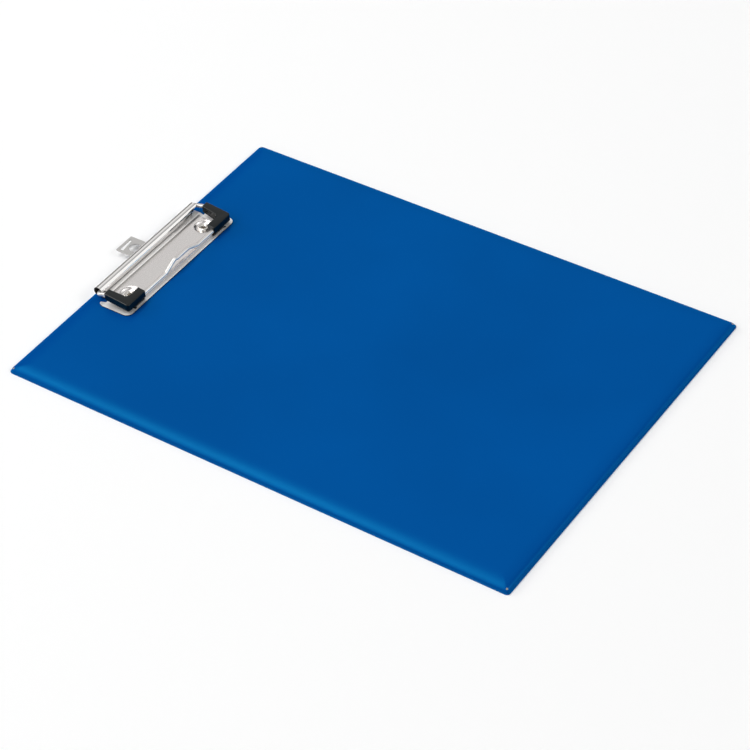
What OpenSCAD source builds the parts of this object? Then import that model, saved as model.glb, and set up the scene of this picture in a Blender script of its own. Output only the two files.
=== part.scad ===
// A4 clipboard: a stiff board welded into a film cover, with a low wire clip
// and a flat tab that pulls out from under the clip to hang the board up.
// Millimetres. X runs across the board, +Y towards the clip, +Z up through the paper side.
// The origin is the centre of the board's underside.

/* [Board] */
// Width of the board
board_w = 230; // [180:1:300]
// Length of the board, along the paper
board_l = 318; // [260:1:420]
// Thickness of the stiff greyboard core
core_t = 2.3; // [1.5:0.1:3.5]
// Thickness of each sheet of film
film_t = 0.35; // [0.2:0.05:0.6]
// Width of the flat welded rim round the core
weld_w = 0.5; // [0.4:0.1:3]
// How far in from the edge the cover reaches its full height
edge_roll = 5; // [3:0.5:12]
// Corner radius of the welded outline
corner_r = 2; // [1:0.5:5]
// Slack between the core's edge and the inside of the cover
core_gap = 0.2; // [0.1:0.05:0.5]

/* [Clip plate] */
// Width of the plate over its two wings
plate_w = 98; // [94:1:140]
// Distance from the hinge axis to the plate's front edge
plate_depth = 25.5; // [24:0.5:34]
// Thickness of the sheet steel
sheet_t = 0.5; // [0.3:0.05:0.6]
// Distance from the board's rear edge to the hinge axis
axis_inset = 5.2; // [5:0.1:12]
// How far below the hinge axis the curl's free lip reaches, in degrees
lip_angle = 40; // [4:1:42]
// Length over which the lip is cut back at the curl's right end
relief_long = 22; // [8:1:30]
// Length over which the lip is cut back at the curl's left end
relief_short = 5; // [3:1:8]
// Height of the raised panel over the strip behind it
panel_step = 0.5; // [0.3:0.1:0.8]
// Distance from each end of the plate to the raised panel's flat top
panel_edge = 9; // [8:0.5:11]
// Width of the flat lip along the front edge
front_lip = 0.8; // [0.5:0.1:1.5]
// Corner radius at the front of the wings
wing_r = 4; // [2:0.5:6]

/* [Wire lever] */
// Diameter of the spring wire
wire_d = 2.3; // [1.8:0.1:2.6]
// Distance from the hinge axis to the lever's front bar
lever_reach = 22.6; // [20:0.2:23]
// Gap between each side leg and the end of the curl
leg_gap = 0.35; // [0.2:0.05:0.6]
// Height of the arch in each leg over the hinge axis
leg_rise = 2.1; // [1.5:0.1:3]
// Height of the thumb hump over the front bar
hump_h = 4.1; // [2:0.1:6]
// How far each end of the wire runs past the middle of the curl
wire_tail = 38; // [10:1:39]

/* [Grips] */
// Distance from each end of the plate to the grip over it
grip_edge = 2.1; // [1:0.1:4]
// Thickness of the grip's wall outside the wire
grip_skin = 0.75; // [0.5:0.05:1]
// Height of a grip
grip_h = 4.2; // [4:0.1:5]
// Width of a grip's leg along the front bar
grip_w = 5; // [4.4:0.1:5.4]
// Length of a grip along the front bar
grip_front = 15.4; // [10:0.2:22]
// Length of a grip along the side leg
grip_side = 16.8; // [12:0.2:17.5]

/* [Hanging tab] */
// Width of the tab
tab_w = 14; // [12:0.5:20]
// Thickness of the tab
tab_t = 0.7; // [0.5:0.05:0.9]
// How far the tab stands out behind the board when pulled out
tab_out = 12; // [11.5:0.5:16]
// Diameter of the hanging hole
hole_d = 7; // [5:0.5:8]
// Distance from the board's rear edge to the hole's centre when pulled out
hole_out = 3.6; // [3:0.1:5]

/* [Rivets] */
// Distance between the two rivets
rivet_pitch = 68; // [50:1:70]
// Diameter of the rivet's shank
rivet_d = 4.4; // [3.6:0.1:5]
// Diameter of the flat head under the board
head_d = 9; // [7:0.5:11]

/* [Clearances] */
// Gap above and below the sliding tab
slide_gap = 0.1; // [0.05:0.05:0.2]
// Gap round a rivet's shank
shank_gap = 0.05; // [0.02:0.01:0.1]
// Gap between the wire's two ends and the curl that they turn in
hinge_gap = 0.05; // [0.02:0.01:0.1]
// Gap between the wire's two ends, side by side in the curl
wire_gap = 0.1; // [0.05:0.05:0.2]
// Gap between the clip plate and the grips over it
rest_gap = 0.1; // [0.05:0.05:0.3]
// Gap between a grip and the wire in it
grip_gap = 0.02; // [0.01:0.01:0.05]

/* [Hidden] */
$fn = 48;
eps = 0.01;

// Heights in the board
board_t = core_t + 2 * film_t;
rim_z = 2 * film_t;

// The wire's two ends lie side by side across the hinge axis, and fill the curl
wire_side = (wire_d + wire_gap) / 2;
curl_d = 2 * (wire_side + wire_d / 2 + hinge_gap + sheet_t);

// Stations across the clip: the grips sit inside the plate's ends, the wire's legs
// in the grips, and the curl between the legs
grip_out = plate_w / 2 - grip_edge;
leg_x = grip_out - grip_skin - wire_d / 2;
curl_w = 2 * (leg_x - wire_d / 2 - leg_gap);
panel_w = plate_w - 2 * panel_edge;

// Heights in the clip, from the tab up
strip_z = board_t + tab_t + 2 * slide_gap;
panel_z = strip_z + panel_step;
axis_z = strip_z + curl_d / 2;
axis_y = board_l / 2 - axis_inset;
floor_z = board_t + sheet_t;

// Stations along the plate, forward of the hinge axis
step_start = 5;
step_run = 1.8;
front_run = 3.2;
panel_end = plate_depth - front_lip - front_run;
wing_start = 4.6;
notch_floor = step_start + step_run;
end_run = 1.8;
rivet_y = 14.3;
seat_d = 8.8;
seat_slope = 1.2;

// Stations along the lever, forward of the hinge axis and over it
bar_gap = 0.3;
bar_z = panel_z + sheet_t + bar_gap + wire_d / 2 - axis_z;
arch_y = 7.3;
bend_lap = 0.05;
axle_bend = wire_d / 2 + leg_gap - bend_lap;
arch_bend = 6;
corner_bend = 3.2;
hump_bend = 3;
nick_bend = 1.6;

// ---------------------------------------------------------------- helpers

function unit(v) = v / norm(v);

// Angle by which a path turns at its point i
function turn(p, i) = acos(max(-1, min(1, unit(p[i] - p[i - 1]) * unit(p[i + 1] - p[i]))));

// Length that a bend of radius r takes from each straight at point i
function trim(p, r, i) = (i == 0 || i == len(p) - 1) ? 0 : r[i] * tan(turn(p, i) / 2);

// A bar of round wire through the points p, bent at each with the radii r. A bend is
// a hair thicker than the straights, as bending leaves it, and they lap into it.
swell = 0.02;
lap = 0.1;
module bent_wire(p, r, d) {
    last = len(p) - 1;
    for (i = [0 : last - 1]) {
        run = unit(p[i + 1] - p[i]);
        from = p[i] + run * (trim(p, r, i) - (i == 0 ? 0 : lap));
        to = p[i + 1] - run * (trim(p, r, i + 1) - (i + 1 == last ? 0 : lap));
        side = unit(abs(run.x) < 0.9 ? cross(run, [1, 0, 0]) : cross(run, [0, 1, 0]));
        up = cross(run, side);
        multmatrix([for (k = [0 : 2]) [side[k], up[k], run[k], from[k]]])
            cylinder(d = d, h = norm(to - from));
    }
    for (i = [1 : last - 1]) {
        run = unit(p[i] - p[i - 1]);
        next = unit(p[i + 1] - p[i]);
        inward = unit(next - run * (next * run));
        start = p[i] - run * trim(p, r, i);
        centre = start + inward * r[i];
        axis = cross(-inward, run);
        multmatrix([for (k = [0 : 2]) [-inward[k], run[k], axis[k], centre[k]]])
            rotate_extrude(angle = turn(p, i), $fn = 96)
                translate([r[i], 0]) circle(d = d + swell, $fn = 24);
    }
}

// A rectangle centred on the origin with round corners
module round_rect(w, l, r) {
    square([w - 2 * r, l], center = true);
    square([w, l - 2 * r], center = true);
    for (x = [-1, 1], y = [-1, 1])
        translate([x * (w / 2 - r), y * (l / 2 - r)]) circle(r);
}

// Extrude an outline drawn in Y and Z along X, over the width w
module along_x(w) {
    translate([-w / 2, 0, 0]) rotate([90, 0, 90]) linear_extrude(w) children();
}

// Extrude an outline drawn in X and Z along Y, over the length l
module along_y(l) {
    translate([0, l / 2, 0]) rotate([90, 0, 0]) linear_extrude(l) children();
}

// Both sides of the clip
module pair() {
    children();
    mirror([1, 0, 0]) children();
}

// Place something in the clip, with the hinge axis over the origin
module at_clip() {
    translate([0, axis_y, 0]) children();
}

// Place something at the two rivets
module at_rivets() {
    for (x = [-1, 1])
        translate([x * rivet_pitch / 2, axis_y - rivet_y, 0]) children();
}

// ---------------------------------------------------------------- board

// One half of the cover's section: it rises from the welded rim in a quarter of a
// squared ellipse, steep at the rim and nearly flat where it meets the top
roll_power = 5;
roll_steps = 9;
function rolled_edge(half, inset, low, high) = [
    for (i = [0 : roll_steps]) let (a = 90 * i / roll_steps, in = edge_roll - inset)
        [half - inset - in * (1 - pow(cos(a), 2 / roll_power)),
         low + (high - low) * pow(sin(a), 2 / roll_power)]
];

module rolled_section(size, inset, low, high) {
    right = rolled_edge(size / 2, inset, low, high);
    left = [for (i = [len(right) - 1 : -1 : 0]) [-right[i].x, right[i].y]];
    polygon(concat(right, left));
}

// The crowned form of the board between the heights low and high, with its foot at
// the distance inset from the outline and its upright corners rounded
module crowned_form(inset, low, high) {
    intersection() {
        along_x(board_w) rolled_section(board_l, inset, low, high);
        along_y(board_l) rolled_section(board_w, inset, low, high);
        linear_extrude(2 * high)
            round_rect(board_w - 2 * inset + eps, board_l - 2 * inset + eps, corner_r);
    }
}

module board_outline() {
    round_rect(board_w, board_l, corner_r);
}

// The recess that a rivet's head is pressed into, with its wall set out by grow
head_t = 0.6;
head_sink = 0.1;
cup_gap = 0.2;
cup_slope = 0.6;
cup_z = head_t + head_sink;
module head_cup(grow) {
    floor_r = head_d / 2 + cup_gap + grow;
    at_rivets() translate([0, 0, -eps])
        cylinder(r1 = floor_r + cup_slope, r2 = floor_r, h = cup_z + grow + eps);
}

module rivet_holes() {
    at_rivets() translate([0, 0, -board_t])
        cylinder(d = rivet_d + 2 * shank_gap, h = 4 * board_t);
}

module board_core() {
    color("#a79f90") difference() {
        crowned_form(weld_w + film_t + core_gap, film_t, board_t - film_t);
        head_cup(film_t);
        rivet_holes();
    }
}

module top_film() {
    color("#00509c") difference() {
        union() {
            translate([0, 0, film_t]) linear_extrude(film_t) board_outline();
            crowned_form(weld_w, film_t, board_t);
        }
        crowned_form(weld_w + film_t, film_t, board_t - film_t);
        rivet_holes();
    }
}

module bottom_film() {
    color("#004a90") difference() {
        union() {
            linear_extrude(film_t) board_outline();
            head_cup(film_t);
        }
        head_cup(0);
        rivet_holes();
        translate([0, 0, -film_t]) linear_extrude(film_t) board_outline();
    }
}

// ---------------------------------------------------------------- clip plate

// The plate seen from above: a strip under the curl, and wings with a notch
// behind them where the wire comes out of the curl
notch_w = 2.1;
notch_slant = 1.8;
relief_r = 0.8;
ear_r = 1.6;
module plate_outline() {
    wing_l = plate_depth - wing_start;
    difference() {
        union() {
            translate([0, -(plate_depth + wing_start) / 2]) {
                square([plate_w - 2 * wing_r, wing_l], center = true);
                square([plate_w, wing_l - 2 * wing_r], center = true);
            }
            pair() {
                translate([plate_w / 2 - wing_r, -plate_depth + wing_r]) circle(wing_r);
                translate([plate_w / 2 - ear_r, -wing_start - ear_r]) circle(ear_r);
                translate([plate_w / 2 - wing_r, -wing_start - wing_r]) {
                    square([wing_r - ear_r, wing_r]);
                    square([wing_r, wing_r - ear_r]);
                }
            }
            translate([-curl_w / 2, -notch_floor - 1]) square([curl_w, notch_floor + 1]);
        }
        pair() {
            polygon([
                [curl_w / 2, 1], [curl_w / 2, -notch_floor],
                [curl_w / 2 + notch_w, -notch_floor],
                [curl_w / 2 + notch_w + notch_slant, -wing_start + 0.2],
                [curl_w / 2 + notch_w + notch_slant, 1]
            ]);
            translate([curl_w / 2, -notch_floor]) circle(relief_r);
        }
    }
}

// The die that the sheet is pressed over: a strip behind, a raised panel with
// sloping ends and front, flat wings and lip, and a round seat for each rivet
module plate_die() {
    difference() {
        union() {
            along_x(plate_w + 2) polygon([
                [0, -2], [0, strip_z + sheet_t], [-step_start, strip_z + sheet_t],
                [-notch_floor, floor_z], [-plate_depth - 1, floor_z], [-plate_depth - 1, -2]
            ]);
            intersection() {
                along_x(plate_w) polygon([
                    [-step_start, -2], [-step_start, strip_z + sheet_t],
                    [-notch_floor, panel_z + sheet_t], [-panel_end, panel_z + sheet_t],
                    [-panel_end - front_run, floor_z], [-panel_end - front_run, -2]
                ]);
                along_y(3 * plate_depth) polygon([
                    [-panel_w / 2 - end_run, -2], [-panel_w / 2 - end_run, floor_z],
                    [-panel_w / 2, panel_z + sheet_t], [panel_w / 2, panel_z + sheet_t],
                    [panel_w / 2 + end_run, floor_z], [panel_w / 2 + end_run, -2]
                ]);
            }
        }
        for (x = [-1, 1])
            translate([x * rivet_pitch / 2, -rivet_y, floor_z])
                cylinder(d1 = seat_d, d2 = seat_d + 4 * seat_slope, h = 2 * (panel_z - board_t));
    }
}

// The lip is cut back in a long taper at the right end of the curl and a short one
// at the left, to let the wire be sprung in
relief_depth = 3.5;
module lip_reliefs() {
    low = 2 * sheet_t - curl_d / 2;
    lip = -curl_d / 2 * sin(lip_angle);
    end = curl_w / 2;
    for (side = [[1, relief_long], [-1, relief_short]])
        translate([0, -curl_d / 2, 0]) along_y(0.7 * curl_d) polygon([
            [side[0] * (end - side[1]), low], [side[0] * (end - side[1]), lip],
            [side[0] * end, lip + relief_depth], [side[0] * (end + 1), lip + relief_depth],
            [side[0] * (end + 1), low]
        ]);
}

// The curl: the sheet rolled up and forward round the hinge axis, open below its lip
module curl() {
    reach = curl_d;
    translate([0, 0, axis_z]) difference() {
        along_x(curl_w) circle(d = curl_d, $fn = 96);
        along_x(curl_w + 2) circle(d = curl_d - 2 * sheet_t, $fn = 96);
        along_x(curl_w + 2) polygon([
            [0, 0], [0, -reach], [-reach, -reach], [-reach, -reach * tan(lip_angle)]
        ]);
        lip_reliefs();
    }
}

module clip_plate() {
    color("#cfcbca") difference() {
        at_clip() {
            intersection() {
                difference() {
                    plate_die();
                    translate([0, 0, -sheet_t]) plate_die();
                }
                linear_extrude(axis_z) plate_outline();
            }
            curl();
        }
        rivet_holes();
    }
}

// ---------------------------------------------------------------- wire lever

// Points of the wire: in at the left end of the curl, round the loop and in again at
// the right end, each tail running nearly the whole length of the curl
hump_left = -11.5;
hump_right = 17;
hump_top_left = -2.8;
hump_top_right = 9;
hump_nick = 1.5;
nick_drop = 0.8;
bar_y = -lever_reach;
LEFT_END = [[wire_tail, -wire_side, 0], [-leg_x, -wire_side, 0]];
LEFT_LEG = [[-leg_x, -arch_y, leg_rise], [-leg_x, bar_y, bar_z]];
RIGHT_LEG = [[leg_x, bar_y, bar_z], [leg_x, -arch_y, leg_rise]];
RIGHT_END = [[leg_x, wire_side, 0], [-wire_tail, wire_side, 0]];
HUMP = [
    [hump_left, bar_y, bar_z],
    [hump_top_left, bar_y, bar_z + hump_h],
    [hump_top_left + hump_nick, bar_y, bar_z + hump_h - nick_drop],
    [hump_top_right, bar_y, bar_z + hump_h - nick_drop],
    [hump_right, bar_y, bar_z]
];
WIRE = concat(LEFT_END, LEFT_LEG, HUMP, RIGHT_LEG, RIGHT_END);
BENDS = [
    0, axle_bend, arch_bend, corner_bend,
    hump_bend, nick_bend, nick_bend, hump_bend, hump_bend,
    corner_bend, arch_bend, axle_bend, 0
];

module wire_body(d) {
    at_clip() translate([0, 0, axis_z]) bent_wire(WIRE, BENDS, d);
}

module lever_wire() {
    color("#d8d6d4") wire_body(wire_d);
}

// ---------------------------------------------------------------- grips

// A grip is an elbow over the lever's front corner. From above it is an L with a
// round outer corner; from the side it rises from the front bar to follow the leg.
grip_low = panel_z + sheet_t + rest_gap;
grip_nose = lever_reach + wire_d / 2 + 0.55;
grip_tilt = 1.9;
grip_side_w = 4.6;
grip_taper = 1.2;
grip_chamfer = 0.5;
module grip_outline() {
    r = 1.5;
    inner_r = 2;
    inside = grip_out - grip_side_w - grip_taper;
    end = grip_out - grip_front;
    difference() {
        polygon([
            [grip_out - grip_side_w, -grip_nose + grip_side],
            [grip_out, -grip_nose + grip_side], [grip_out, -grip_nose],
            [end + grip_chamfer, -grip_nose], [end, -grip_nose + grip_chamfer],
            [end, -grip_nose + grip_w], [inside - inner_r, -grip_nose + grip_w],
            [inside, -grip_nose + grip_w + inner_r]
        ]);
        difference() {
            translate([grip_out - r, -grip_nose - 1]) square(r + 1);
            translate([grip_out - r, -grip_nose + r]) circle(r);
        }
        translate([inside - inner_r, -grip_nose + grip_w + inner_r]) circle(inner_r);
    }
}

// A long square bar along Y, turned to take a chamfer off an edge that it lies on
module edge_cutter() {
    rotate([0, 45, 0])
        cube([grip_chamfer * sqrt(2), 4 * grip_side, grip_chamfer * sqrt(2)], center = true);
}

// The right grip before the wire's channel is cut
module grip_blank() {
    rise = atan(grip_tilt / grip_side);
    difference() {
        intersection() {
            translate([0, 0, board_t]) linear_extrude(4 * grip_h) grip_outline();
            along_x(3 * grip_out) polygon([
                [-grip_nose - 1, grip_low], [-grip_nose + grip_w, grip_low],
                [-grip_nose + grip_side + 1, grip_low + grip_tilt],
                [-grip_nose + grip_side + 1, grip_low + grip_h + (grip_side + 1) * tan(rise)],
                [-grip_nose + grip_chamfer, grip_low + grip_h + grip_chamfer * tan(rise)],
                [-grip_nose - 1, grip_low + grip_h - grip_chamfer - 1]
            ]);
        }
        translate([0, -grip_nose, grip_low + grip_h]) rotate([rise, 0, 0]) {
            translate([grip_out, grip_side, 0]) edge_cutter();
            translate([grip_out - grip_front, grip_w, 0]) edge_cutter();
        }
    }
}

module right_grip() {
    color("#1a2224") difference() {
        at_clip() grip_blank();
        wire_body(wire_d + 2 * grip_gap);
    }
}

module left_grip() {
    color("#1a2224") difference() {
        at_clip() mirror([1, 0, 0]) grip_blank();
        wire_body(wire_d + 2 * grip_gap);
    }
}

// ---------------------------------------------------------------- hanging tab

// Drawn pulled out. Its inner end is turned up into the raised panel, and meets the
// step behind the panel when the tab is right out.
tab_corner = 0.8;
tab_lip_h = 0.45;
tab_stop_gap = 0.2;
slot_end = 5.4;
slot_far = 1.5;
slot_near = 4.1;
slot_skew = 1.3;
module hanger_tab() {
    outer = board_l / 2 + tab_out;
    inner = axis_y - notch_floor - tab_stop_gap;
    low = board_t + slide_gap;
    color("#b4b2b0") {
        translate([0, 0, low]) linear_extrude(tab_t) difference() {
            union() {
                translate([0, (outer + inner - tab_t) / 2])
                    round_rect(tab_w, outer - inner + tab_t, tab_corner);
                translate([-tab_w / 2, inner - tab_t]) square([tab_w, 4 * tab_t]);
            }
            translate([0, board_l / 2 + hole_out]) circle(d = hole_d);
            polygon([
                [-slot_end, outer - slot_near], [-slot_end, outer - slot_far],
                [slot_end - 1, outer - slot_far], [slot_end - 1, outer - slot_near + slot_skew]
            ]);
        }
        translate([-tab_w / 2, inner - tab_t, low + tab_t])
            cube([tab_w, tab_t, tab_lip_h]);
    }
}

// ---------------------------------------------------------------- rivets

// A tubular rivet set from below: flat head under the board, a solid root, and the
// tube's end rolled outwards over the seat in the plate
module rivet() {
    bore = rivet_d / 4;
    roll = rivet_d / 4;
    rim = head_d / 2 - head_t / 2;
    rotate_extrude() {
        translate([0, head_sink]) square([rim, head_t]);
        translate([rim, head_sink + head_t / 2]) circle(d = head_t);
        translate([0, cup_z - eps]) square([rivet_d / 2, cup_z]);
        translate([bore, cup_z - eps]) square([rivet_d / 2 - bore, floor_z - cup_z + eps]);
        intersection() {
            translate([rivet_d / 2, floor_z]) circle(roll);
            translate([0, floor_z]) square(rivet_d);
        }
    }
}

module left_rivet() {
    color("#c4c2c0") translate([-rivet_pitch / 2, axis_y - rivet_y, 0]) rivet();
}

module right_rivet() {
    color("#c4c2c0") translate([rivet_pitch / 2, axis_y - rivet_y, 0]) rivet();
}

board_core();
top_film();
bottom_film();
clip_plate();
lever_wire();
left_grip();
right_grip();
hanger_tab();
left_rivet();
right_rivet();
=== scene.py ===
# %% [markdown]
# # A clipboard, finished in Blender
#
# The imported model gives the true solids: a board in a welded film cover, a pressed steel
# plate with a rolled curl, a bent wire lever with two grips, a hanging tab and two rivets.
# This lesson dresses those solids. Each step says what the piece is on the real object,
# how it could be made, and why it is made the way it is here.

import math

import bmesh
import bpy
from mathutils import Matrix, Vector


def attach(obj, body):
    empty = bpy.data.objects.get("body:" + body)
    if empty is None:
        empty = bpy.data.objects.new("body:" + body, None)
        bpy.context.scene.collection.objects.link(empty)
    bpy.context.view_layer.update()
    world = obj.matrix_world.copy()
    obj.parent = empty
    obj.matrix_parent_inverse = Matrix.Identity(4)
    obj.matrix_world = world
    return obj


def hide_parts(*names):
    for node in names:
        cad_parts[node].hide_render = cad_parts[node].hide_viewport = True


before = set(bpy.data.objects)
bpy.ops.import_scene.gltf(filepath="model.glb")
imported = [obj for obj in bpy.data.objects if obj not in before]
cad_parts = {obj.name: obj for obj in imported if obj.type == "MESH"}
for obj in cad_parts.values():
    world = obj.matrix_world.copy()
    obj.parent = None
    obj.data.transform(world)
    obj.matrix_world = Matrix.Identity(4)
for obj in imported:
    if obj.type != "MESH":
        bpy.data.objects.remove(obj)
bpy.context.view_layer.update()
MM = 0.001
print("frame:", sorted(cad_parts))

# %% [markdown]
# ## The camera
#
# The photograph is taken with a long lens from in front and to the left of the board. A
# camera has three axes: back, right and up. Azimuth and elevation fix the back axis, and
# the roll turns the other two about it. The board's four corners fix all of these, and
# the length of the lens. The Standard view keeps every colour as it is written.

# %% Camera
CAMERA_AT = Vector((-823.6, -635.2, 916.9)) * MM
AZIMUTH, ELEVATION, ROLL = (math.radians(a) for a in (-52.38, 41.97, -4.77))
LENS_MM, SENSOR_MM = 123.8, 36.0

back = Vector((
    math.sin(AZIMUTH) * math.cos(ELEVATION),
    -math.cos(AZIMUTH) * math.cos(ELEVATION),
    math.sin(ELEVATION),
))
flat = Vector((math.cos(AZIMUTH), math.sin(AZIMUTH), 0))
right = flat * math.cos(ROLL) + back.cross(flat) * math.sin(ROLL)
up = back.cross(right)

camera_data = bpy.data.cameras.new("camera")
camera_data.lens = LENS_MM
camera_data.sensor_width = SENSOR_MM
camera_data.clip_start, camera_data.clip_end = 0.05, 20
camera = bpy.data.objects.new("camera", camera_data)
bpy.context.scene.collection.objects.link(camera)
camera.matrix_world = Matrix.LocRotScale(
    CAMERA_AT, Matrix((right, up, back)).transposed().to_quaternion(), None
)
bpy.context.scene.camera = camera
bpy.context.scene.view_settings.view_transform = "Standard"
print("camera:", tuple(round(x, 3) for x in camera.location))

# %% [markdown]
# ## Helpers for materials
#
# Colours are written as sRGB hex values, as a colour picker shows them. Blender's sockets
# want linear light, so one function converts them. A second small function adds a node
# with its settings and its links in one line, which keeps each material readable.

# %% Material helpers
def colour(code):
    """The linear colour of an sRGB hex code."""
    parts = [int(code[i:i + 2], 16) / 255 for i in (1, 3, 5)]
    return [c / 12.92 if c <= 0.04045 else ((c + 0.055) / 1.055) ** 2.4 for c in parts] + [1.0]


def add(tree, kind, settings=None, inputs=None):
    """Adds a node: settings are its properties, inputs are values or other nodes' outputs."""
    made = tree.nodes.new(kind)
    for name, value in (settings or {}).items():
        setattr(made, name, value)
    for name, value in (inputs or {}).items():
        if isinstance(value, bpy.types.NodeSocket):
            tree.links.new(value, made.inputs[name])
        else:
            made.inputs[name].default_value = value
    return made


def new_material(name):
    """A material with an empty tree, and that tree."""
    material = bpy.data.materials.new(name)
    material.use_nodes = True
    material.node_tree.nodes.clear()
    return material, material.node_tree


# %% [markdown]
# ## Floor, sky and lamps
#
# A product photograph like this one has a white ground with only a soft touch of shadow
# along the near edges. The sky is white to the camera, and dimmer to what it lights, so
# that the soft boxes can shape the object. Together they light a level surface about as
# much as its colour is written, so a white floor comes out white and still takes the
# shadow. Bright metal shows what stands round it, so reflections see bands of grey along
# Y instead, as from the white and dark cards that a photographer sets up round a clip.
# The lamps are large and stand a few metres off, so that the light is even all over.

# %% Stage
SKY_LIGHT, SKY_WHITE = 0.35, 1.0
# Each card is a direction's share along Y, from -1 to 1, and the grey that is seen there.
CARDS = (
    (-1.0, 1.0), (-0.45, 1.0), (-0.32, 0.34), (-0.16, 0.38), (0.0, 0.66),
    (0.40, 0.84), (0.54, 0.80), (0.64, 0.22), (0.84, 0.20), (1.0, 0.60),
)
FLOOR_SIZE = 8.0

world = bpy.data.worlds.new("studio")
bpy.context.scene.world = world
world.use_nodes = True
tree = world.node_tree
tree.nodes.clear()
ray = add(tree, "ShaderNodeLightPath")
seen = add(tree, "ShaderNodeMath", {"operation": "MAXIMUM"}, {
    0: ray.outputs["Is Glossy Ray"], 1: ray.outputs["Is Transmission Ray"],
})
toward = add(tree, "ShaderNodeSeparateXYZ", None, {
    "Vector": add(tree, "ShaderNodeTexCoord").outputs["Generated"],
})
along = add(tree, "ShaderNodeMapRange", None, {"Value": toward.outputs["Y"], "From Min": -1.0})
cards = add(tree, "ShaderNodeValToRGB", None, {"Fac": along.outputs["Result"]})
while len(cards.color_ramp.elements) < len(CARDS):
    cards.color_ramp.elements.new(0.5)
for stop, (place, grey) in zip(cards.color_ramp.elements, CARDS):
    stop.position = (place + 1) / 2
    stop.color = (grey, grey, grey, 1)
glow = add(tree, "ShaderNodeMix", None, {
    "Factor": seen.outputs[0], "A": SKY_LIGHT, "B": cards.outputs["Color"],
})
glow = add(tree, "ShaderNodeMix", None, {
    "Factor": ray.outputs["Is Camera Ray"], "A": glow.outputs["Result"], "B": SKY_WHITE,
})
sky = add(tree, "ShaderNodeBackground", None, {
    "Color": colour("#FFFFFF"), "Strength": glow.outputs["Result"],
})
add(tree, "ShaderNodeOutputWorld", None, {"Surface": sky.outputs[0]})


def soft_box(name, place, width, height, power):
    """A lamp of a width and height at a place, in metres, turned to the middle of the board."""
    data = bpy.data.lights.new(name, "AREA")
    data.shape = "RECTANGLE"
    data.size, data.size_y, data.energy = width, height, power
    made = bpy.data.objects.new(name, data)
    bpy.context.scene.collection.objects.link(made)
    made.matrix_world = Matrix.LocRotScale(
        Vector(place), (-Vector(place)).to_track_quat("-Z", "Y"), None
    )


soft_box("high_soft_box", (-0.40, 2.34, 4.60), 4.4, 1.8, 110)
soft_box("left_soft_box", (-3.10, 1.70, 2.70), 2.0, 2.0, 36)
soft_box("rear_soft_box", (-1.00, 4.60, 2.20), 2.4, 1.6, 60)
soft_box("front_soft_box", (1.30, -3.90, 3.10), 2.0, 1.2, 50)

material, tree = new_material("white_studio_floor")
ground = add(tree, "ShaderNodeBsdfDiffuse", None, {"Color": colour("#FFFFFF")})
add(tree, "ShaderNodeOutputMaterial", None, {"Surface": ground.outputs[0]})
bm = bmesh.new()
bmesh.ops.create_grid(bm, x_segments=1, y_segments=1, size=FLOOR_SIZE / 2)
mesh = bpy.data.meshes.new("floor")
bm.to_mesh(mesh)
bm.free()
mesh.materials.append(material)
floor = bpy.data.objects.new("floor", mesh)
bpy.context.scene.collection.objects.link(floor)
print("stage: floor, sky and", len(bpy.data.lights), "lamps")

# %% [markdown]
# ## PVC film
#
# The cover is soft PVC film with a fine embossed grain, welded hot along its rim. Such a
# film has a satin gloss, broad and low, and strongest at a flat angle: a Fresnel node
# mixes it over the matt colour. The pigment lies just under the surface and tints the
# gloss a light blue, which Glossy can do and Principled's own highlight can't. The grain is
# about 0.4 mm wide, too fine to show from a metre away, so it is only a slight bump. Air
# is shut in by the weld and puffs the film up a little beside it. A second bump, which
# falls away within 10 mm of the outline, gives that edge its soft light and dark band.

# %% PVC film
GRAIN_MM = 0.4
GLOSS_TINT, FILM_IOR = "#27CDFF", 1.53
PUFF_W, PUFF_H = 10.0, 1.3
BOARD_W, BOARD_L, BOARD_T = 230.0, 318.0, 3.0


def from_outline(tree, place):
    """A socket with a point's distance in from the board's nearer edge, in metres."""
    axes = add(tree, "ShaderNodeSeparateXYZ", None, {"Vector": place})
    side = []
    for axis, size in (("X", BOARD_W), ("Y", BOARD_L)):
        away = add(tree, "ShaderNodeMath", {"operation": "ABSOLUTE"}, {0: axes.outputs[axis]})
        side.append(add(tree, "ShaderNodeMath", {"operation": "SUBTRACT"}, {
            0: size / 2 * MM, 1: away.outputs[0],
        }).outputs[0])
    nearer = add(tree, "ShaderNodeMath", {"operation": "MINIMUM"}, {0: side[0], 1: side[1]})
    return nearer.outputs[0]


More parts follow.
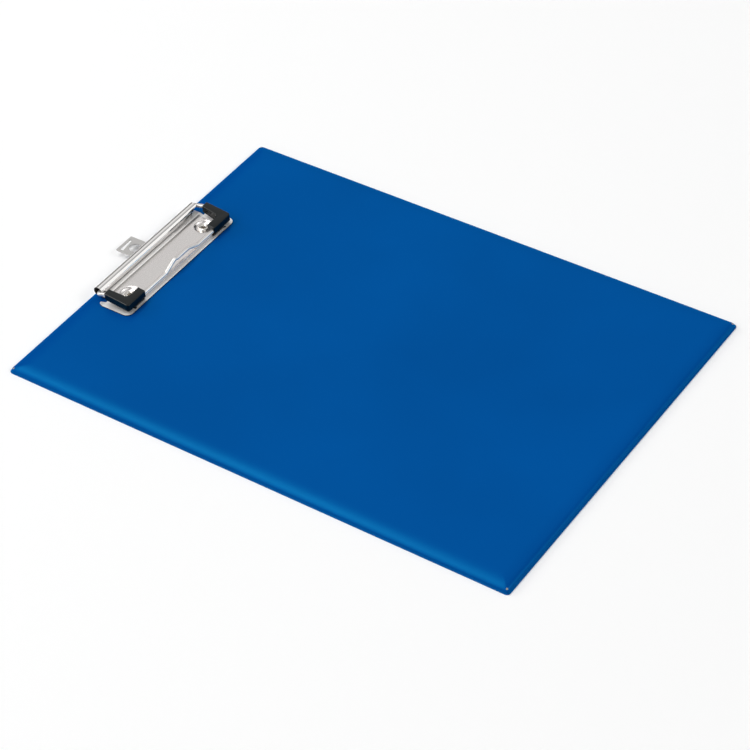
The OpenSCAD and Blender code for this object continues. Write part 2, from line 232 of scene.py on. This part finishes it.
def film_material(name, code, deep_code):
    """Embossed PVC film in two close shades, with a fine grain and a puffed edge."""
    material, tree = new_material(name)
    place = add(tree, "ShaderNodeTexCoord").outputs["Object"]
    near = add(tree, "ShaderNodeMapRange", None, {
        "Value": from_outline(tree, place), "From Max": PUFF_W * MM,
        "To Min": 1.0, "To Max": 0.0,
    })
    fall = add(tree, "ShaderNodeMath", {"operation": "POWER"}, {
        0: near.outputs["Result"], 1: 2.0,
    })
    puff = add(tree, "ShaderNodeBump", {"invert": True}, {
        "Strength": 1.0, "Distance": PUFF_H * MM, "Height": fall.outputs[0],
    })
    cloud = add(tree, "ShaderNodeTexNoise", None, {
        "Vector": place, "Scale": 9.0, "Detail": 3.0,
    })
    shade = add(tree, "ShaderNodeMapRange", None, {
        "Value": cloud.outputs["Fac"], "From Min": 0.35, "From Max": 0.65,
    })
    tint = add(tree, "ShaderNodeMix", {"data_type": "RGBA"}, {
        "Factor": shade.outputs["Result"], "A": colour(code), "B": colour(deep_code),
    })
    grain = add(tree, "ShaderNodeTexVoronoi", None, {
        "Vector": place, "Scale": 1 / (GRAIN_MM * MM), "Randomness": 1.0,
    })
    bump = add(tree, "ShaderNodeBump", None, {
        "Strength": 0.12, "Distance": 0.05 * MM, "Height": grain.outputs["Distance"],
        "Normal": puff.outputs["Normal"],
    })
    body = add(tree, "ShaderNodeBsdfPrincipled", None, {
        "Base Color": tint.outputs["Result"], "Roughness": 0.6, "Specular IOR Level": 0.0,
        "Normal": bump.outputs["Normal"],
    })
    gloss = add(tree, "ShaderNodeBsdfGlossy", None, {
        "Color": colour(GLOSS_TINT), "Roughness": 0.32, "Normal": bump.outputs["Normal"],
    })
    film = add(tree, "ShaderNodeMixShader", None, {
        0: add(tree, "ShaderNodeFresnel", None, {"IOR": FILM_IOR}).outputs[0],
        1: body.outputs[0], 2: gloss.outputs[0],
    })
    add(tree, "ShaderNodeOutputMaterial", None, {"Surface": film.outputs[0]})
    return material


top_pvc = film_material("embossed_blue_pvc_film", "#004696", "#00418F")
under_pvc = film_material("smooth_blue_pvc_film", "#00468F", "#004187")
print("film grain:", GRAIN_MM, "mm")

# %% [markdown]
# ## Greyboard
#
# The core is pressed from waste paper: grey-brown, matt, with darker fibres in it. Nobody
# sees it while the cover is whole, but it is a real piece and gets a real finish.

# %% Greyboard
material, tree = new_material("pressed_greyboard")
place = add(tree, "ShaderNodeTexCoord").outputs["Object"]
fibre = add(tree, "ShaderNodeTexNoise", None, {"Vector": place, "Scale": 900.0, "Detail": 5.0})
tint = add(tree, "ShaderNodeMix", {"data_type": "RGBA"}, {
    "Factor": fibre.outputs["Fac"], "A": colour("#8C8474"), "B": colour("#B6AE9E"),
})
bump = add(tree, "ShaderNodeBump", None, {
    "Strength": 0.3, "Distance": 0.1 * MM, "Height": fibre.outputs["Fac"],
})
paper = add(tree, "ShaderNodeBsdfPrincipled", None, {
    "Base Color": tint.outputs["Result"], "Roughness": 0.95, "Specular IOR Level": 0.1,
    "Normal": bump.outputs["Normal"],
})
add(tree, "ShaderNodeOutputMaterial", None, {"Surface": paper.outputs[0]})
greyboard = material

# %% [markdown]
# ## Nickel plate
#
# The clip, the wire, the tab and the rivets are steel with a thin coat of nickel. Nickel
# is a warm, slightly grey mirror. How it was worked before plating sets its roughness:
# drawn wire and rolled edges are bright, and pressed sheet is satin, with very fine lines
# left by the rolling mill along its length. Where a tool has scuffed the flat faces matt,
# part of the light spreads evenly, so their metallic share is lower. The sheared edges
# are dull steel, painted darker still as the shadow along the plate's rim. The inside of
# the curl is painted dark as its shade, and the step is painted with a dark reflection of
# the curl.

# %% Nickel plate
def nickel_material(name, code, rough, line_mm, line_depth, metal=1.0):
    """Nickel over steel with fine rolling lines of a given spacing along X."""
    material, tree = new_material(name)
    place = add(tree, "ShaderNodeTexCoord").outputs["Object"]
    stretch = add(tree, "ShaderNodeMapping", None, {"Vector": place, "Scale": (0.04, 1.0, 1.0)})
    lines = add(tree, "ShaderNodeTexNoise", None, {
        "Vector": stretch.outputs[0], "Scale": 1 / (line_mm * MM), "Detail": 2.0,
    })
    gloss = add(tree, "ShaderNodeMapRange", None, {
        "Value": lines.outputs["Fac"], "To Min": rough * 0.8, "To Max": rough * 1.2,
    })
    bump = add(tree, "ShaderNodeBump", None, {
        "Strength": 0.1, "Distance": line_depth * MM, "Height": lines.outputs["Fac"],
    })
    nickel = add(tree, "ShaderNodeBsdfPrincipled", None, {
        "Base Color": colour(code), "Metallic": metal, "Roughness": gloss.outputs["Result"],
        "Normal": bump.outputs["Normal"],
    })
    add(tree, "ShaderNodeOutputMaterial", None, {"Surface": nickel.outputs[0]})
    return material


rolled_nickel = nickel_material("bright_rolled_nickel", "#F6F4F2", 0.12, 0.3, 0.01)
satin_nickel = nickel_material("satin_pressed_nickel", "#E4E0DE", 0.24, 0.3, 0.02)
matt_nickel = nickel_material("matt_flat_nickel", "#FCFAF8", 0.35, 0.3, 0.01, 0.45)
# Painted dark reflection: the step is coloured darker to stand for the curl it mirrors.
step_painted_reflection_nickel = nickel_material("step_painted_reflection_nickel", "#A4A2A0", 0.30, 0.3, 0.01, 0.8)
# Dull sheared steel, and a painted shadow: the edge walls are darkened to stand for the shadow
# along the plate's rim.
edge_steel_painted_shadow = nickel_material("dull_edge_steel_painted_shadow", "#3A3A3C", 0.40, 0.3, 0.01, 0.9)
# Painted shade: the inside of the curl is coloured dark to stand for the shade in it.
curl_painted_shade_steel = nickel_material("curl_inside_painted_shade_steel", "#242322", 0.50, 0.3, 0.01, 0.7)
bright_nickel = nickel_material("nickel_plated_wire", "#E4E0DC", 0.30, 0.3, 0.01, 0.7)
rivet_nickel = nickel_material("nickel_plated_rivet", "#DAD6D0", 0.18, 0.3, 0.01)
tab_nickel = nickel_material("nickel_plated_tab", "#C8C6C4", 0.30, 0.3, 0.02, 0.8)

# %% [markdown]
# ## Grip plastic
#
# The grips are moulded in black polypropylene. It has a slight blue-green cast in bright
# light, and the mould leaves a fine spark-eroded grain that spreads the highlights.

# %% Grip plastic
ERODED_MM = 0.25
material, tree = new_material("moulded_black_polypropylene")
place = add(tree, "ShaderNodeTexCoord").outputs["Object"]
pits = add(tree, "ShaderNodeTexNoise", None, {
    "Vector": place, "Scale": 1 / (ERODED_MM * MM), "Detail": 2.0,
})
tint = add(tree, "ShaderNodeMix", {"data_type": "RGBA"}, {
    "Factor": pits.outputs["Fac"], "A": colour("#070C0E"), "B": colour("#0D1416"),
})
bump = add(tree, "ShaderNodeBump", None, {
    "Strength": 0.15, "Distance": 0.02 * MM, "Height": pits.outputs["Fac"],
})
plastic = add(tree, "ShaderNodeBsdfPrincipled", None, {
    "Base Color": tint.outputs["Result"], "Roughness": 0.16, "IOR": 1.49,
    "Specular IOR Level": 0.30, "Normal": bump.outputs["Normal"],
})
add(tree, "ShaderNodeOutputMaterial", None, {"Surface": plastic.outputs[0]})
black_plastic = material
print("materials:", sorted(m.name for m in bpy.data.materials))

# %% [markdown]
# ## From the drawing to Blender
#
# The part is drawn in millimetres, and so is each piece here: Blender's operators work
# best on sizes near one. The clip's pieces are placed forward of and above its hinge axis.
# When a piece is finished, one helper scales it to metres and gives it to its body.

# %% Sizes and helpers of the clip
AXIS_Y, AXIS_Z = 153.8, 6.8
SHEET_T, CURL_R = 0.5, 2.9
RIVET_X, RIVET_U, HOLE_R = 34.0, 14.3, 2.25


def clip_point(x, u, z):
    """A point u forward of the hinge axis and z above the board's underside."""
    return Vector((x, AXIS_Y - u, z))


def finish_piece(name, bm, materials, body, replaced, smooth_angle=35):
    """Makes an object of a bmesh, with smooth faces between sharp edges, on its body."""
    for edge in bm.edges:
        if len(edge.link_faces) == 2:
            edge.smooth = edge.calc_face_angle(0) < math.radians(smooth_angle)
    for face in bm.faces:
        face.smooth = True
    bmesh.ops.scale(bm, verts=bm.verts, vec=(MM, MM, MM))
    mesh = bpy.data.meshes.new(name)
    bm.to_mesh(mesh)
    bm.free()
    for material in materials:
        mesh.materials.append(material)
    piece = bpy.data.objects.new(name, mesh)
    bpy.context.scene.collection.objects.link(piece)
    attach(piece, body)
    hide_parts(*replaced)
    print(f"{name}: {len(mesh.polygons)} faces")


def clad(name, material):
    """Gives a carried-over CAD node its finish."""
    mesh = bpy.data.objects[name].data
    mesh.materials.clear()
    mesh.materials.append(material)


# %% [markdown]
# ## The cover
#
# The upper film lies flat on the core, rolls down over its edge and ends in a thin welded
# rim. The weld stretches it, so it lies a touch lower for the outer 13 mm. Its form is a
# stack of rounded rectangles, each a little further in and higher than the last, bridged
# with faces. Each loop is one face with bevelled corners, so all of them have the same
# number of points and bridge cleanly. The rivet holes are cut by filling between the last
# loop and two circles. Every face of this skin looks up or outward, so any that turns its
# back on a point deep under the board is reversed. Then a wall is added on the inside.

# %% Cover
FILM_T, WELD_W, EDGE_ROLL, CORNER_R = 0.35, 0.5, 5.0, 2.0
RIM_ROUND = 0.12
ROLL_POWER, ROLL_STEPS = 3.5, 12
CROWN_W, CROWN_DROP = 13, 0.15
ROLL_WIDENS, CROWN_WIDENS = 1.5, 0.3
CORNER_STEPS = 8


def crown(inset):
    """How far the film lies below its full height where it is stretched towards the rim."""
    return CROWN_DROP * max(0, 1 - inset / CROWN_W) ** 2


def corner_loop(bm, inset, height, radius):
    """The edges of a rounded rectangle, inset from the board's outline."""
    made = bmesh.ops.create_grid(bm, x_segments=1, y_segments=1, size=0.5)["verts"]
    bmesh.ops.scale(bm, verts=made, vec=(BOARD_W - 2 * inset, BOARD_L - 2 * inset, 1))
    bmesh.ops.translate(bm, verts=made, vec=(0, 0, height))
    bmesh.ops.bevel(
        bm, geom=made, offset=radius, offset_type="OFFSET", segments=CORNER_STEPS,
        profile=0.5, affect="VERTICES", material=-1,
    )
    face = next(f for f in bm.faces if f.is_valid and len(f.verts) > 4)
    edges = list(face.edges)
    bmesh.ops.delete(bm, geom=[face], context="FACES_ONLY")
    return edges


rim_top = 2 * FILM_T
loops = [
    (0.0, FILM_T, CORNER_R),
    (0.0, rim_top - RIM_ROUND, CORNER_R),
    (RIM_ROUND, rim_top, CORNER_R - 0.1),
]
for step in range(ROLL_STEPS + 1):
    a = math.radians(90 * step / ROLL_STEPS)
    run = 1 - math.cos(a) ** (2 / ROLL_POWER)
    rise = math.sin(a) ** (2 / ROLL_POWER)
    inset = WELD_W + (EDGE_ROLL - WELD_W) * run
    height = max(rim_top, FILM_T + (BOARD_T - FILM_T) * rise - crown(inset))
    loops.append((inset, height, CORNER_R + ROLL_WIDENS * run))
for inset in range(int(EDGE_ROLL) + 1, CROWN_W + 1):
    radius = CORNER_R + ROLL_WIDENS + CROWN_WIDENS * (inset - EDGE_ROLL)
    loops.append((float(inset), BOARD_T - crown(inset), radius))

bm = bmesh.new()
last = corner_loop(bm, *loops[0])
for loop in loops[1:]:
    new = corner_loop(bm, *loop)
    bmesh.ops.bridge_loops(bm, edges=last + new)
    last = new
for side in (-1, 1):
    hole = bmesh.ops.create_circle(bm, segments=32, radius=HOLE_R, cap_ends=False)["verts"]
    bmesh.ops.translate(bm, verts=hole, vec=clip_point(side * RIVET_X, RIVET_U, BOARD_T))
    last += list({edge for vert in hole for edge in vert.link_edges})
bmesh.ops.triangle_fill(bm, edges=last, use_beauty=True)
bm.normal_update()
deep = Vector((0, 0, -1000))
inward = [f for f in bm.faces if f.normal.dot(f.calc_center_median() - deep) < 0]
bmesh.ops.reverse_faces(bm, faces=inward)
bm.normal_update()
bmesh.ops.solidify(bm, geom=bm.faces[:], thickness=FILM_T)
heights = [round(vert.co.z, 3) for vert in bm.verts]
print("cover heights:", min(heights), max(heights))
finish_piece("cover", bm, [top_pvc], "board", ["top_film"], 70)
clad("bottom_film", under_pvc)
clad("board_core", greyboard)

# %% [markdown]
# ## The clip plate
#
# The plate is one stamping. A flat blank is pressed over a die that gives it the raised
# panel and the two rivet seats, and its rear edge is then rolled round into the curl. Here
# the blank is a grid as well. Its columns and rows are set close where the sheet bends,
# and each point is then pressed to its height, or rolled round the hinge axis. A wall
# turns the sheet into steel of its real thickness.

# %% The blank's columns and rows
CURL_END, WING_END = 43.5, 49.0
PANEL_END, END_RUN = 40.0, 1.8
STEP_START, NOTCH_FLOOR = 5.0, 6.8
FRONT_START, FRONT_END, PLATE_FRONT = 21.5, 24.7, 25.5
SEAT_IN, SEAT_OUT = 4.4, 5.6
CURL_STEPS = 40
WING_COLUMNS = [44.2, 45.0, 45.6, 46.2, 46.8, 47.25, 47.4, 47.8, 48.2, 48.5, 48.75, 48.9, 48.97]


def spread(start, end, pitch):
    """Even stations from start to before end, about a pitch apart."""
    count = max(1, round((end - start) / pitch))
    return [start + (end - start) * i / count for i in range(count)]


def stations(first, *stretches):
    """Stations over stretches that follow each other, each a (end, pitch) pair."""
    made = []
    for end, pitch in stretches:
        made += spread(first, end, pitch)
        first = end
    return made + [first]


half = stations(
    0, (RIVET_X - 6.5, 1.5), (RIVET_X + 5.5, 0.4), (PANEL_END + END_RUN + 0.6, 0.2),
    (CURL_END, 0.5),
)
half += WING_COLUMNS + [WING_END]
columns = [-x for x in reversed(half[1:])] + half

rolled = [("curl", i / CURL_STEPS) for i in range(CURL_STEPS + 1)]
pressed = stations(
    0.4, (STEP_START - 0.4, 0.9), (NOTCH_FLOOR + 0.4, 0.15), (RIVET_U - 6, 0.5),
    (RIVET_U + 6, 0.4), (FRONT_START - 0.4, 0.3), (FRONT_END + 0.5, 0.15),
)
pressed = sorted({*pressed, NOTCH_FLOOR, PLATE_FRONT})
rows = rolled + [("flat", u) for u in pressed]
print("blank:", len(columns), "columns and", len(rows), "rows")

# %% [markdown]
# The pressed heights come from one smooth ramp. A real sheet never bends to a corner, so
# the ramp is rounded at both of its ends by about the thickness of the sheet.

# %% Press the blank
SOFT = 0.35
STRIP_TOP, PANEL_TOP, FLOOR_TOP = 4.4, 4.9, 3.5
SEAT_REACH, SEAT_FADE = 9, 8
EAR_IN, EAR_OUT, EAR_ROUND, EAR_REAR = 45.6, 47.25, 47.4, 4.6
EAR_SLOPE, EAR_R, WING_R = 2.4 / 1.8, 1.6, 4
LIP_ANGLE, CURL_FOOT, RELIEF = -40.0, 270, 3.5
RELIEF_RIGHT, RELIEF_LEFT = 22, 5


def ramp(value, start, end):
    """Rises from 0 to 1 between start and end, with rounded corners."""
    def bend(t):
        return (t + math.sqrt(t * t + SOFT * SOFT)) / 2
    return (bend(value - start) - bend(value - end)) / (end - start)


def pressed_height(x, u):
    """The height of the sheet's upper side."""
    across = 1 - ramp(abs(x), PANEL_END, PANEL_END + END_RUN)
    panel = FLOOR_TOP + (PANEL_TOP - FLOOR_TOP) * across * (1 - ramp(u, FRONT_START, FRONT_END))
    height = STRIP_TOP + (panel - STRIP_TOP) * ramp(u, STEP_START, NOTCH_FLOOR)
    seat = min(math.dist((abs(x), u), (RIVET_X, RIVET_U)), SEAT_REACH)
    kept = ramp(seat, SEAT_IN, SEAT_OUT) if seat < SEAT_FADE else 1
    return FLOOR_TOP + (height - FLOOR_TOP) * kept


def wing_rear(x):
    """How far forward the sheet's rear edge lies, in the notch and along the ear."""
    if x <= EAR_IN:
        return NOTCH_FLOOR
    if x <= EAR_OUT:
        return NOTCH_FLOOR - (x - EAR_IN) * EAR_SLOPE
    if x <= EAR_ROUND:
        return EAR_REAR
    return EAR_REAR + EAR_R - math.sqrt(max(0, EAR_R ** 2 - (x - EAR_ROUND) ** 2))


def wing_front(x):
    """How far forward the sheet's front edge lies, round the wing's corner."""
    past = max(0, x - (WING_END - WING_R))
    return PLATE_FRONT - WING_R + math.sqrt(max(0, WING_R ** 2 - past ** 2))


def lip_start(x):
    """The angle of the curl's lip, cut back in a taper towards each end."""
    reach = RELIEF_RIGHT if x > 0 else RELIEF_LEFT
    lift = min(1, max(0, (abs(x) - (CURL_END - reach)) / reach)) * RELIEF
    low = CURL_R * math.sin(math.radians(LIP_ANGLE))
    return math.degrees(math.asin((lift + low) / CURL_R))


bm = bmesh.new()
blank = bmesh.ops.create_grid(
    bm, x_segments=len(columns) - 1, y_segments=len(rows) - 1, size=1,
)["verts"]
spare = []
for index, vert in enumerate(blank):
    x = columns[index % len(columns)]
    kind, place = rows[index // len(columns)]
    if kind == "curl":
        start = lip_start(x)
        angle = math.radians(start + (CURL_FOOT - start) * place)
        r = CURL_R - SHEET_T
        vert.co = clip_point(x, r * math.cos(angle), AXIS_Z + r * math.sin(angle))
    else:
        u = place
        if abs(x) > CURL_END and u >= NOTCH_FLOOR:
            rear, front = wing_rear(abs(x)), wing_front(abs(x))
            u = rear + (front - rear) * (u - NOTCH_FLOOR) / (PLATE_FRONT - NOTCH_FLOOR)
        vert.co = clip_point(x, u, pressed_height(x, u))
    behind = kind == "curl" or place < NOTCH_FLOOR
    if abs(x) > CURL_END and behind:
        spare.append(vert)
bmesh.ops.delete(bm, geom=spare, context="VERTS")

# %% [markdown]
# The two rivet holes are punched next: the faces inside each are taken out, and the points
# along the ragged cut are moved onto its circle. Then the sheet gets its thickness.

# %% Punch the holes and give the sheet its thickness
hole_at = clip_point(RIVET_X, RIVET_U, 0)


def from_hole(point):
    """The offset of a point from the nearer rivet hole's centre, seen from above."""
    return Vector((abs(point.x) - hole_at.x, point.y - hole_at.y))


holes = [f for f in bm.faces if from_hole(f.calc_center_median()).length < HOLE_R]
bmesh.ops.delete(bm, geom=holes, context="FACES")
for vert in bm.verts:
    away = from_hole(vert.co)
    if vert.is_boundary and away.length < HOLE_R + 1:
        away *= HOLE_R / away.length
        vert.co.x = math.copysign(hole_at.x + away.x, vert.co.x)
        vert.co.y = hole_at.y + away.y
bmesh.ops.recalc_face_normals(bm, faces=bm.faces)
bm.normal_update()
on_panel = clip_point(0, 15, PANEL_TOP)
panel_face = min(bm.faces, key=lambda f: (f.calc_center_median() - on_panel).length)
if panel_face.normal.z < 0:
    bmesh.ops.reverse_faces(bm, faces=bm.faces)
    bm.normal_update()
bmesh.ops.solidify(bm, geom=bm.faces[:], thickness=SHEET_T)
heights = [round(vert.co.z, 3) for vert in bm.verts]
print("plate heights:", min(heights), max(heights))

# %% [markdown]
# Each part of the plate was worked in its own way, and so it gets its own finish: the curl
# is rolled bright, the panel is pressed satin, and the flat strip, wings and lip are scuffed
# matt. The step gets a painted dark reflection of the curl, the sheared edges are dull steel
# painted darker as the rim's shadow, and the inside of the curl is painted dark as shade.

# %% Finishes of the plate
ROLLED, PRESSED, FLAT, STEP, SHEARED, INSIDE = range(6)
for face in bm.faces:
    middle = face.calc_center_median()
    u = AXIS_Y - middle.y
    if abs(face.normal.x) > 0.9 or (u > STEP_START and abs(face.normal.z) < 0.3):
        # The edge walls: dull steel with a painted rim shadow.
        face.material_index = SHEARED
    elif math.hypot(u, middle.z - AXIS_Z) < CURL_R - SHEET_T / 2 and middle.z > STRIP_TOP:
        # The inside of the curl: painted shade.
        face.material_index = INSIDE
    elif 0.3 < u < STEP_START - 0.1 and middle.z < STRIP_TOP + 0.1:
        face.material_index = FLAT
    elif u < STEP_START - 0.1 or middle.z > PANEL_TOP + 0.3:
        face.material_index = ROLLED
    elif abs(middle.x) < PANEL_END + END_RUN and u < NOTCH_FLOOR - 0.2:
        # The step: a painted dark reflection of the curl.
        face.material_index = STEP
    elif abs(middle.x) < PANEL_END + END_RUN and u < FRONT_END:
        face.material_index = PRESSED
    else:
        face.material_index = FLAT
finish_piece(
    "pressed_clip_plate", bm,
    [rolled_nickel, satin_nickel, matt_nickel, step_painted_reflection_nickel, edge_steel_painted_shadow, curl_painted_shade_steel],
    "board", ["clip_plate"],
)

# %% [markdown]
# ## The wire lever
#
# The lever is one length of spring wire, bent in a jig. It is made the way the jig makes
# it: a round end is drawn along each straight, and spun about the centre of each bend. The
# two tails lie side by side in the curl and turn there as the hinge.

# %% Bend the wire
WIRE_R = 1.15
WIRE = [(x, -y, z) for x, y, z in (
    (38, -1.2, 0), (-45, -1.2, 0), (-45, -7.3, 2.1), (-45, -22.6, -0.45),
    (-11.5, -22.6, -0.45), (-2.8, -22.6, 3.65), (-1.3, -22.6, 2.85), (9, -22.6, 2.85),
    (17, -22.6, -0.45), (45, -22.6, -0.45), (45, -7.3, 2.1), (45, 1.2, 0), (-38, 1.2, 0),
)]
BENDS = (0, 1.45, 6, 3.2, 3, 1.6, 1.6, 3, 3, 3.2, 6, 1.45, 0)
ROUND_STEPS, BEND_STEP = 20, 9

points = [clip_point(x, u, AXIS_Z + z) for x, u, z in WIRE]
bm = bmesh.new()
run = (points[1] - points[0]).normalized()
ring = bmesh.ops.create_circle(
    bm, segments=ROUND_STEPS, radius=WIRE_R, cap_ends=True,
    matrix=Matrix.Translation(points[0]) @ run.to_track_quat("Z", "X").to_matrix().to_4x4(),
)["verts"]
edges = list({edge for vert in ring for edge in vert.link_edges})
at = points[0]
for index in range(1, len(points)):
    run = (points[index] - points[index - 1]).normalized()
    if index < len(points) - 1:
        ahead = (points[index + 1] - points[index]).normalized()
        turned = run.angle(ahead)
        trim = BENDS[index] * math.tan(turned / 2)
    else:
        trim = 0
    bend_from = points[index] - run * trim
    drawn = bmesh.ops.extrude_edge_only(bm, edges=edges)["geom"]
    moved = [g for g in drawn if isinstance(g, bmesh.types.BMVert)]
    edges = [g for g in drawn if isinstance(g, bmesh.types.BMEdge)]
    bmesh.ops.translate(bm, verts=moved, vec=bend_from - at)
    at = bend_from
    if trim:
        inward = (ahead - run * ahead.dot(run)).normalized()
        centre = bend_from + inward * BENDS[index]
        steps = max(4, round(math.degrees(turned) / BEND_STEP))
        spun = bmesh.ops.spin(
            bm, geom=moved + edges, cent=centre, axis=run.cross(ahead), angle=turned,
            steps=steps, use_merge=False, use_duplicate=False,
        )["geom_last"]
        edges = [g for g in spun if isinstance(g, bmesh.types.BMEdge)]
        at = points[index] + ahead * trim
bmesh.ops.contextual_create(bm, geom=edges)
bmesh.ops.remove_doubles(bm, verts=bm.verts, dist=0.0005)
bmesh.ops.recalc_face_normals(bm, faces=bm.faces)
print("wire: open edges", sum(not e.is_manifold for e in bm.edges))
finish_piece(
    "bent_wire_lever", bm, [bright_nickel], "lever", ["lever_wire"], 50,
)

# %% [markdown]
# ## The grips
#
# Each grip is a small moulding over a front corner of the wire. Seen from above it is an L
# with a rounded outer corner; seen from the side it rises towards the hinge with the wire.
# It starts as its outline, is drawn up to its height and tilted, and the edges are then
# rounded as a mould leaves them.

# %% Grips
GRIP_OUT, GRIP_NOSE, GRIP_LOW, GRIP_H = 46.9, 24.3, 5.0, 4.2
GRIP_W, GRIP_FRONT, GRIP_SIDE, GRIP_SIDE_W = 5.0, 15.4, 16.8, 4.6
GRIP_TILT, GRIP_TAPER, GRIP_EDGE = 1.9, 1.2, 0.4
GRIP_CORNERS = ((2, 1.5), (5, 2.0), (3, 0.6), (4, 0.5), (1, 0.5), (0, 0.5))


def grip(name, side, node):
    """One grip; side is 1 at the right and -1 at the left."""
    inside = GRIP_OUT - GRIP_SIDE_W - GRIP_TAPER
    outline = [
        (GRIP_OUT - GRIP_SIDE_W, GRIP_NOSE - GRIP_SIDE), (GRIP_OUT, GRIP_NOSE - GRIP_SIDE),
        (GRIP_OUT, GRIP_NOSE), (GRIP_OUT - GRIP_FRONT, GRIP_NOSE),
        (GRIP_OUT - GRIP_FRONT, GRIP_NOSE - GRIP_W), (inside, GRIP_NOSE - GRIP_W),
    ]
    bm = bmesh.new()
    corners = [bm.verts.new(clip_point(side * x, u, GRIP_LOW)) for x, u in outline]
    bm.faces.new(corners)
    for index, radius in GRIP_CORNERS:
        bmesh.ops.bevel(
            bm, geom=[corners[index]], offset=radius, offset_type="OFFSET", segments=6,
            profile=0.5, affect="VERTICES", material=-1,
        )
    base = bm.faces[:][0]
    drawn = bmesh.ops.extrude_face_region(bm, geom=[base])["geom"]
    top = [g for g in drawn if isinstance(g, bmesh.types.BMVert)]
    bmesh.ops.translate(bm, verts=top, vec=(0, 0, GRIP_H))
    for vert in bm.verts:
        back = GRIP_NOSE - (AXIS_Y - vert.co.y)
        if vert in top:
            vert.co.z += GRIP_TILT * back / GRIP_SIDE
        else:
            vert.co.z += GRIP_TILT * max(0, back - GRIP_W) / (GRIP_SIDE - GRIP_W)
    bmesh.ops.recalc_face_normals(bm, faces=bm.faces)
    rim = [e for e in bm.edges if all(v in top for v in e.verts)]
    bmesh.ops.bevel(
        bm, geom=rim, offset=GRIP_EDGE, offset_type="OFFSET", segments=4, profile=0.5,
        affect="EDGES", material=-1, clamp_overlap=True,
    )
    finish_piece(name, bm, [black_plastic], "lever", [node], 40)


grip("left_thumb_grip", -1, "left_grip")
grip("right_thumb_grip", 1, "right_grip")

# %% [markdown]
# ## Tab and rivets
#
# The tab is a bare plate and the rivets are small turned parts. Their solids are right as
# they are, and only need their finish.

# %% Tab and rivets
clad("hanger_tab", tab_nickel)
clad("left_rivet", rivet_nickel)
clad("right_rivet", rivet_nickel)
